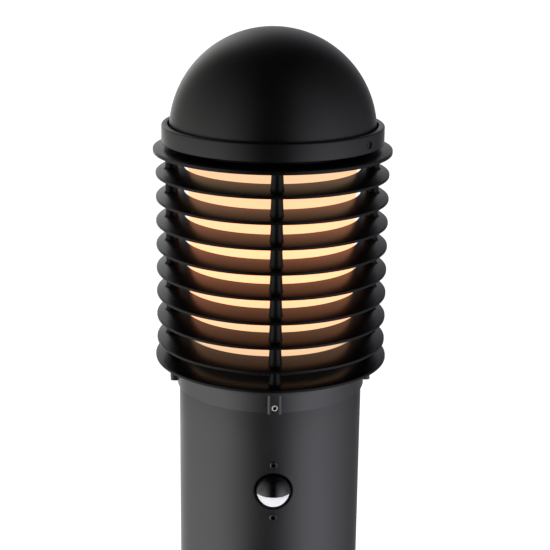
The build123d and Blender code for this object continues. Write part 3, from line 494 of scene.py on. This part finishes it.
# ------------------------------------------------------------------ motion sensor
def sensor():
    radius = radius_of("post_tube")
    front = outward(0)
    centre = sensor_centre()
    turn = facing(front, centre + front * (radius - 2 * MM))
    bezel_low, bezel_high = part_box("sensor_bezel")
    bezel_outer = (bezel_high.z - bezel_low.z) / 2
    bezel_inner = bezel_outer - 0.75 * MM
    bezel_front = 1.5 * MM
    bezel_back = -3.5 * MM
    bezel = lathe([(bezel_inner, bezel_back), (bezel_outer, bezel_back), (bezel_outer, bezel_front),
                   (bezel_inner, bezel_front)], steps=96, bevel=0.2 * MM, segments=2)
    bezel.transform(turn)
    # Matt near-black bezel: its own black plastic, made darker and duller as painted shade for the shaded gap
    # round the sensor.
    matt_black_and_shade = moulded("sensor_ring_black_and_shade", (0.002, 0.002, 0.002), (0.004, 0.004, 0.004), 0.7, 900.0,
                   Specular_IOR_Level=0.15)
    finish_mesh("sensor_ring", bezel, "sensor_bezel", paint=matt_black_and_shade)

    lens_low, lens_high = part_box("sensor_lens")
    lens_radius = (lens_high.z - lens_low.z) / 2
    skirt_depth = 3.4 * MM
    lens = bmesh.new()
    bmesh.ops.create_uvsphere(lens, u_segments=36, v_segments=28, radius=lens_radius)
    bmesh.ops.bisect_plane(lens, geom=lens.verts[:] + lens.edges[:] + lens.faces[:], plane_co=(0, 0, 0),
                           plane_no=(0, 0, 1), clear_inner=True)
    facets = [face for face in lens.faces if face.calc_center_median().z > 0.4 * MM]
    bmesh.ops.inset_individual(lens, faces=facets, thickness=0.09 * MM, depth=-0.1 * MM, use_even_offset=True)
    skirt = [edge for edge in lens.edges if edge.is_boundary]
    extruded = bmesh.ops.extrude_edge_only(lens, edges=skirt)["geom"]
    moved = [item for item in extruded if isinstance(item, bmesh.types.BMVert)]
    bmesh.ops.translate(lens, verts=moved, vec=(0, 0, -skirt_depth))
    bmesh.ops.holes_fill(lens, edges=[edge for edge in lens.edges if edge.is_boundary], sides=0)
    bmesh.ops.recalc_face_normals(lens, faces=lens.faces)
    lens.transform(turn)
    finish_mesh("ribbed_lens", lens, "sensor_lens", sharp=60)

    mask_low, mask_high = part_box("sensor_mask")
    outer = (mask_high.z - mask_low.z) / 2
    inner = outer - 0.6 * MM
    ring_back = -1.5 * MM
    mask = lathe([(inner, ring_back), (outer, ring_back), *arc((0, 0), outer, 0, 90, 24),
                  *arc((0, 0), inner, 90, 0, 24)], steps=96)
    mask = trim_below(mask)
    soften(mask, 0.12 * MM, 50, 2)
    mark_inner = 0.75 * MM
    mark_outer = 1.25 * MM
    mark_back = -0.3 * MM
    mark_front = 0.14 * MM
    mark = lathe([(mark_inner, mark_back), (mark_outer, mark_back), (mark_outer, mark_front),
                  (mark_inner, mark_front)], steps=24, bevel=0.06 * MM, segments=2)
    level = radians(16)
    spread = radians(50)
    for side in (-1, 1):
        lean = Vector((side * cos(level) * sin(spread), sin(level), cos(level) * cos(spread)))
        join(mask, mark, facing(lean, lean * outer))
    mark.free()
    mask.transform(turn_upright(turn))
    finish_mesh("sensor_shade", mask, "sensor_mask")
    sensor_fixings(radius)


def turn_upright(turn):
    """The sensor's local frame with +Y up, +Z out of the post."""
    upright = Matrix(((1, 0, 0, 0), (0, 0, -1, 0), (0, 1, 0, 0), (0, 0, 0, 1)))
    return Matrix.Translation(turn.translation) @ upright


def trim_below(bm):
    """Cut away the lower half of the mask's dome and keep its ring."""
    block = bmesh.new()
    size = 60 * MM
    bmesh.ops.create_cube(block, size=size, matrix=Matrix.Translation((0, -size / 2, size / 2)))
    return cut_away(bm, block)


def sensor_fixings(radius):
    """Two small screws with hexagon recesses above and below the sensor."""
    low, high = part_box("sensor_screws")
    head = (high.x - low.x) / 2
    spread = (high.z - low.z) / 2 - head
    middle = middle_of("sensor_screws")
    face = radius + 1.0 * MM
    places = [(outward(0) * face + UP * (middle + side * spread), outward(0)) for side in (-1, 1)]
    screws("sensor_fixing_screws", "sensor_screws", places, head, 2.2 * MM, 1.15 * MM, PAINT["dark_steel"])


# ------------------------------------------------------------------ head
def rounded_boss(width, height, depth, edge):
    """Block along +Z with its two upright front edges rounded, its back at z=0, centred on the axis."""
    bm = bmesh.new()
    bmesh.ops.create_cube(bm, size=1.0)
    bmesh.ops.scale(bm, vec=(width, height, depth), verts=bm.verts)
    bmesh.ops.translate(bm, vec=(0, 0, depth / 2), verts=bm.verts)
    uprights = []
    for item in bm.edges:
        first, second = (vert.co for vert in item.verts)
        if abs(first.x - second.x) < 1e-7 and abs(first.z - second.z) < 1e-7 and first.z > depth / 2:
            uprights.append(item)
    bmesh.ops.bevel(bm, geom=uprights, offset=edge, affect="EDGES", segments=6, profile=0.5, material=-1)
    return bm


def head_casting():
    low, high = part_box("head_base")
    deck_radius = radius_of("head_base")
    post_radius = radius_of("post_tube")
    collar_bore = post_radius + 0.3 * MM
    collar_radius = collar_bore + 1.1 * MM
    deck_low = high.z - 5 * MM
    deck_hole = 6 * MM
    outline = [(deck_hole, deck_low), (deck_hole, high.z), (deck_radius, high.z), (deck_radius, deck_low),
               (collar_radius, deck_low), (collar_radius, low.z), (collar_bore, low.z),
               (collar_bore, deck_low)]
    bm = lathe(outline, steps=256, bevel=0.35 * MM, segments=2)
    boss_front = 62.7 * MM
    boss_back = collar_bore + 0.5 * MM
    boss_low = low.z + 0.6 * MM
    boss_height = deck_low + 0.5 * MM - boss_low
    boss_middle = boss_low + boss_height / 2
    boss_depth = boss_front - boss_back
    screw_z = middle_of("collar_grub_screws")
    screw_hole = 2.1 * MM
    sunk = 0.1 * MM
    hole = (screw_hole, 3 * MM, Matrix.Translation((0, screw_z - boss_middle, boss_depth)))
    single = bore(rounded_boss(8.8 * MM, boss_height, boss_depth, 2.2 * MM), [hole])
    rims = []
    places = []
    for azimuth in PILLAR_AZIMUTHS:
        out = outward(azimuth)
        join(bm, single, facing_upright(out, out * boss_back + UP * boss_middle))
        rims.append((out * boss_front + UP * screw_z, out))
        places.append((out * (boss_front - sunk) + UP * screw_z, out))
    single.free()
    hole_rims(bm, rims, screw_hole, 0.45 * MM)
    finish_mesh("head_casting", bm, "head_base")
    screws("collar_set_screws", "collar_grub_screws", places, 2.0 * MM, 4.5 * MM, 1.15 * MM)


def facing_upright(out, place):
    """Local +Z along a level direction, local +Y up."""
    side = UP.cross(out)
    turn = Matrix((side, UP, out)).transposed().to_4x4()
    return Matrix.Translation(place) @ turn


# The louvres and the rings above and below them share these sizes.
LOUVRE_BORE = 53.5 * MM
PILLAR_CIRCLE = 61 * MM
PILLAR_FOOT = 3.9 * MM
PILLAR_HEAD = 3.3 * MM
BLADE = 1.8 * MM
BLADE_SLOPE = radians(11.65)
EDGE_ROUND = 0.35 * MM
PILLAR_TOP_GAP = 0.4 * MM


def spacers(bm, foot_z, head_z):
    """Four tapered spacers with a small root fillet, their feet sunk into the blade."""
    single = bmesh.new()
    taper = PILLAR_FOOT - PILLAR_HEAD
    root = 0.9 * MM
    profile = [(PILLAR_FOOT + root, foot_z - root), (PILLAR_FOOT + 0.25 * MM, foot_z + 0.2 * MM),
               (PILLAR_FOOT, foot_z + root), (PILLAR_FOOT - taper * 0.5, (foot_z + head_z) / 2),
               (PILLAR_HEAD, head_z)]
    corners = [single.verts.new((r, 0, z)) for r, z in profile]
    edges = [single.edges.new(pair) for pair in zip(corners, corners[1:])]
    bmesh.ops.spin(single, geom=corners + edges, cent=(0, 0, 0), axis=(0, 0, 1), angle=2 * pi, steps=32,
                   use_merge=True)
    bmesh.ops.remove_doubles(single, verts=single.verts, dist=1e-7)
    bmesh.ops.holes_fill(single, edges=[edge for edge in single.edges if edge.is_boundary], sides=0)
    bmesh.ops.recalc_face_normals(single, faces=single.faces)
    for azimuth in PILLAR_AZIMUTHS:
        join(bm, single, Matrix.Translation(outward(azimuth) * PILLAR_CIRCLE))
    single.free()


def blade(node, name):
    """One louvre: a sloped ring with rounded rims and its four spacers."""
    low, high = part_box(node)
    rim = radius_of(node)
    rise = (rim - LOUVRE_BORE) * tan(BLADE_SLOPE)
    outline = [(rim, low.z), (rim, low.z + BLADE), (LOUVRE_BORE, low.z + rise + BLADE),
               (LOUVRE_BORE, low.z + rise)]
    bm = lathe(outline, bevel=EDGE_ROUND)
    foot_z = low.z + BLADE + (rim - PILLAR_CIRCLE) * tan(BLADE_SLOPE)
    spacers(bm, foot_z, high.z - PILLAR_TOP_GAP)
    finish_mesh(name, bm, node)


def bottom_flange():
    low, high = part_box("bottom_ring")
    rim = radius_of("bottom_ring")
    slope = radians(7)
    rise = (rim - LOUVRE_BORE) * tan(slope)
    outline = [(rim, low.z), (rim, low.z + BLADE), (LOUVRE_BORE, low.z + BLADE + rise), (LOUVRE_BORE, low.z)]
    bm = lathe(outline, bevel=EDGE_ROUND)
    spacers(bm, low.z + BLADE + (rim - PILLAR_CIRCLE) * tan(slope), high.z - PILLAR_TOP_GAP)
    finish_mesh("bottom_flange", bm, "bottom_ring")


def top_flange():
    low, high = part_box("top_ring")
    rim = radius_of("top_ring")
    slope = radians(5)
    thick = 2.3 * MM
    rise = (rim - LOUVRE_BORE) * tan(slope)
    spigot = 59.1 * MM
    spigot_bore = 57.1 * MM
    outline = [
        (rim, low.z), (rim, low.z + thick), (spigot, low.z + thick + (rim - spigot) * tan(slope)),
        (spigot, high.z), (spigot_bore, high.z), (spigot_bore, low.z + thick + rise),
        (LOUVRE_BORE, low.z + thick + rise), (LOUVRE_BORE, low.z + rise),
    ]
    finish_mesh("top_flange", lathe(outline, bevel=EDGE_ROUND), "top_ring")


def diffuser():
    low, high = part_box("diffuser")
    foot = 50 * MM
    top = radius_of("diffuser")
    wall = 2.5 * MM
    shoulder = 12 * MM
    turn = (top - shoulder, high.z - shoulder)
    outline = [(foot - wall, low.z), (foot, low.z)]
    levels = 10
    outline += [(foot + (top - foot) * i / levels, low.z + (turn[1] - low.z) * i / levels)
                for i in range(1, levels)]
    outline += [*arc(turn, shoulder, 0, 90, 12), (0, high.z), (0, high.z - wall),
                *arc(turn, shoulder - wall, 90, 0, 12)]
    paint = lit_opal("lit_opal_diffuser", low.z, high.z, (0.41, 0.265, 0.15), (1.0, 0.365, 0.175), 2.25)
    finish_mesh("opal_diffuser", lathe(outline), "diffuser", paint=paint, sharp=40)


def lamp():
    low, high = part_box("lamp_bulb")
    radius = radius_of("lamp_bulb")
    neck = 13 * MM
    centre = (0, high.z - radius)
    side = [(neck, low.z), (neck + 0.2 * MM, low.z + 6 * MM), (neck + 1.6 * MM, low.z + 14 * MM),
            (neck + 5.4 * MM, low.z + 22 * MM), (neck + 10.6 * MM, low.z + 31 * MM)]
    outline = [(0, low.z), *side, *arc(centre, radius, -38, 90, 22)]
    paint = lit_opal("lit_lamp_glass", low.z, high.z, (0.5, 0.36, 0.22), (1.0, 0.5, 0.28), 2.0)
    finish_mesh("lamp_glass", lathe(outline, steps=72), "lamp_bulb", paint=paint, sharp=50)
    cap_low, cap_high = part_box("lamp_cap")
    cap_radius = radius_of("lamp_cap")
    turns = 6
    tip_length = 6 * MM
    plain_length = 9 * MM
    pitch = (cap_high.z - cap_low.z - plain_length) / turns
    thread = []
    for i in range(turns):
        start = cap_low.z + tip_length + i * pitch
        thread += [(cap_radius - 0.8 * MM, start), (cap_radius, start + pitch / 2)]
    outline = [(0, cap_low.z), (4.8 * MM, cap_low.z), (cap_radius - 1.5 * MM, cap_low.z + 5 * MM), *thread,
               (cap_radius - 0.5 * MM, cap_high.z), (0, cap_high.z)]
    finish_mesh("lamp_screw_cap", lathe(outline, steps=72, bevel=0.2 * MM, segments=2), "lamp_cap", sharp=50)


# ------------------------------------------------------------------ cap
def cap():
    ring_low, ring_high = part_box("cap_ring")
    ring = radius_of("cap_ring")
    low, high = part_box("dome")
    radius = radius_of("dome")
    wall = 3 * MM
    centre = high.z - radius
    bead_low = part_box("hold_down_ring")[1].z
    bead_high = bead_low + 5 * MM
    bead_bore = radius - wall - 6.4 * MM
    bore_radius = radius - wall
    bead_angle = 9
    outline = [
        (bore_radius, low.z), (radius, low.z), *arc((0, centre), radius, 0, 90, 64),
        *arc((0, centre), bore_radius, 90, bead_angle, 40), (bead_bore, bead_high), (bead_bore, bead_low),
        (bore_radius, bead_low),
    ]
    finish_mesh("dome_shell", lathe(outline), "dome", paint=PAINT["cap_black"], sharp=40)
    groove_floor = ring_high.z - 4 * MM
    groove = radius + 1 * MM
    seat_shade = radius + 0.1 * MM
    lip = 2 * MM
    lip_bore = 59.4 * MM
    outline = [
        (lip_bore, ring_low.z), (ring, ring_low.z), (ring, ring_high.z), (groove, ring_high.z),
        (groove, groove_floor), (seat_shade, groove_floor), (seat_shade, ring_low.z + lip), (lip_bore, ring_low.z + lip),
    ]
    bm = lathe(outline, steps=256)
    on_rim = ring - 0.01 * MM
    corners = [edge for edge in bm.edges if min(vert.co.xy.length for vert in edge.verts) > on_rim
               and edge.calc_face_angle(0) > radians(40)]
    bmesh.ops.bevel(bm, geom=corners, offset=1.1 * MM, affect="EDGES", segments=5, profile=0.5, material=-1)
    soften(bm, 0.3 * MM, 50, 2)
    screw_z = middle_of("cap_screws")
    azimuths = (54, 234)
    screw_hole = 2.15 * MM
    sunk = 0.7 * MM
    rims = [(outward(azimuth) * ring + UP * screw_z, outward(azimuth)) for azimuth in azimuths]
    band = bore(bm, [(screw_hole, 3 * MM, facing(direction, place)) for place, direction in rims])
    hole_rims(band, rims, screw_hole, 1.1 * MM)
    finish_mesh("cap_band", band, "cap_ring", paint=PAINT["cap_black"])
    places = [(outward(azimuth) * (ring - sunk) + UP * screw_z, outward(azimuth)) for azimuth in azimuths]
    # Painted shade: the cap's screws take dark steel so that they read as sunk in shaded holes.
    screws("cap_set_screws", "cap_screws", places, 2.0 * MM, 4 * MM, 1.15 * MM, PAINT["dark_steel"])


# ------------------------------------------------------------------ studio
def camera():
    """The fitted view: looking down on the head from nearly straight ahead."""
    focal_length = 92.29
    distance = 0.8368
    pitch = 16.163
    azimuth = 2.75
    roll = 0.676
    over_the_dome = 0.0904
    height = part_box("dome")[1].z + over_the_dome
    sideways = 2.23 * MM
    turn = Matrix.Rotation(radians(-azimuth), 4, "Z")
    spot = turn @ Vector((sideways, -distance, 0)) + UP * height
    data = bpy.data.cameras.new("camera")
    data.lens = focal_length
    data.sensor_width = 36.0
    data.clip_start = 0.01
    data.clip_end = 200.0
    eye = bpy.data.objects.new("camera", data)
    bpy.context.scene.collection.objects.link(eye)
    look = Matrix.Rotation(radians(90 - pitch), 4, "X") @ Matrix.Rotation(radians(roll), 4, "Z")
    eye.matrix_world = Matrix.Translation(spot) @ turn @ look
    bpy.context.scene.camera = eye


def floor():
    """Wide pale floor that isn't mirrored in the piece's glossy parts."""
    bm = bmesh.new()
    bmesh.ops.create_circle(bm, cap_ends=True, segments=96, radius=60.0)
    slab = link("floor", bm)
    pale = finish("pale_floor")
    speck = pale.noise(pale.place(), 6.0, 2.0)
    slab.data.materials.append(pale.surface(
        Base_Color=pale.blend(speck, (0.8, 0.8, 0.8), (0.84, 0.84, 0.84)),
        Roughness=0.9,
        Specular_IOR_Level=0.1,
        Emission_Color=(1.0, 1.0, 1.0, 1.0),
        Emission_Strength=0.75,
    ))
    slab.visible_glossy = False


def backdrop():
    """White surround that only the camera meets, so that a low view has no horizon."""
    bm = bmesh.new()
    bmesh.ops.create_uvsphere(bm, u_segments=64, v_segments=32, radius=12.0)
    bmesh.ops.reverse_faces(bm, faces=bm.faces)
    shell = link("backdrop", bm)
    white = finish("white_backdrop")
    shell.data.materials.append(white.surface(
        Base_Color=(0.0, 0.0, 0.0, 1.0),
        Specular_IOR_Level=0.0,
        Emission_Color=(1.0, 1.0, 1.0, 1.0),
        Emission_Strength=1.0,
    ))
    shell.visible_diffuse = False
    shell.visible_glossy = False
    shell.visible_transmission = False
    shell.visible_shadow = False


SKY_STRENGTH = 1.95
SKY_FLOOR = 0.004
# Brightness of the surround by direction, in degrees from the front and positive to the right.
SKY_BY_AZIMUTH = (
    (-180, 0.04), (-165, 0.05), (-150, 0.14), (-134, 0.34), (-116, 0.56), (-98, 0.78), (-80, 0.94),
    (-60, 1.0), (-35, 0.48), (-17, 0.03), (0, 0.01), (11, 0.04), (30, 0.66), (48, 1.0), (66, 0.92),
    (90, 0.48), (115, 0.2), (135, 0.07), (160, 0.03), (180, 0.04),
)


def studio_world():
    """Soft light by direction: tall soft boxes left, right and behind, dark in front and overhead."""
    world = bpy.data.worlds.new("studio")
    bpy.context.scene.world = world
    sky = Finish(world)
    way = sky.node("ShaderNodeTexCoord", output="Generated")
    parts = {axis: sky.node("ShaderNodeSeparateXYZ", None, {"Vector": way}, output=axis) for axis in "XYZ"}
    side = sky.node("ShaderNodeMath", {"operation": "ARCTAN2"}, {0: parts["X"], 1: parts["Y"] * -1.0})
    azimuth = side * (180 / pi)
    level = sky.remap(parts["Z"], 0.95, -0.3, smooth=False)
    stops = [((turn + 180) / 360, (share, share, share, 1.0)) for turn, share in SKY_BY_AZIMUTH]
    around = sky.node("ShaderNodeValToRGB", {"ramp": stops}, {"Fac": azimuth / 360.0 + 0.5})
    back = sky.remap(azimuth.absolute(), 130.0, 172.0) * sky.remap(parts["Z"], 0.98, 0.5)
    lean = sky.remap(parts["X"], 0.2, -0.2, 0.45, 0.75) + sky.remap(parts["X"], -0.02, -0.3, 0.0, 0.7)
    back = back * lean
    brightness = sky.node("ShaderNodeRGBToBW", None, {"Color": around})
    warm = sky.blend(sky.remap(parts["X"], -0.4, 0.4), (1.0, 0.985, 0.965), (0.975, 0.96, 1.04))
    glow = brightness * level * SKY_STRENGTH + back + SKY_FLOOR
    shade = sky.node("ShaderNodeBackground", None, {"Color": warm, "Strength": glow})
    sky.node("ShaderNodeOutputWorld", None, {"Surface": shade})


def lights():
    """A high soft sun that glossy surfaces don't mirror."""
    data = bpy.data.lights.new("top_light", "SUN")
    data.energy = 0.8
    data.angle = radians(40)
    top = bpy.data.objects.new("top_light", data)
    bpy.context.scene.collection.objects.link(top)
    top.rotation_euler = (radians(-25), radians(8), 0)
    top.visible_glossy = False


# ------------------------------------------------------------------ build
def paint_kept_nodes():
    """CAD nodes whose shape is right keep it and get their finish."""
    for name, node in NODES.items():
        slot = SLOT_OF[name]
        if slot in PAINT:
            node.data.materials.clear()
            node.data.materials.append(PAINT[slot])


camera()
paint_kept_nodes()
base()
post()
sensor()
head_casting()
bottom_flange()
for number in range(1, 9):
    blade(f"louvre_{number}", f"louvre_blade_{number}")
top_flange()
diffuser()
lamp()
cap()
floor()
backdrop()
studio_world()
lights()
bpy.context.scene.view_settings.view_transform = "Standard"
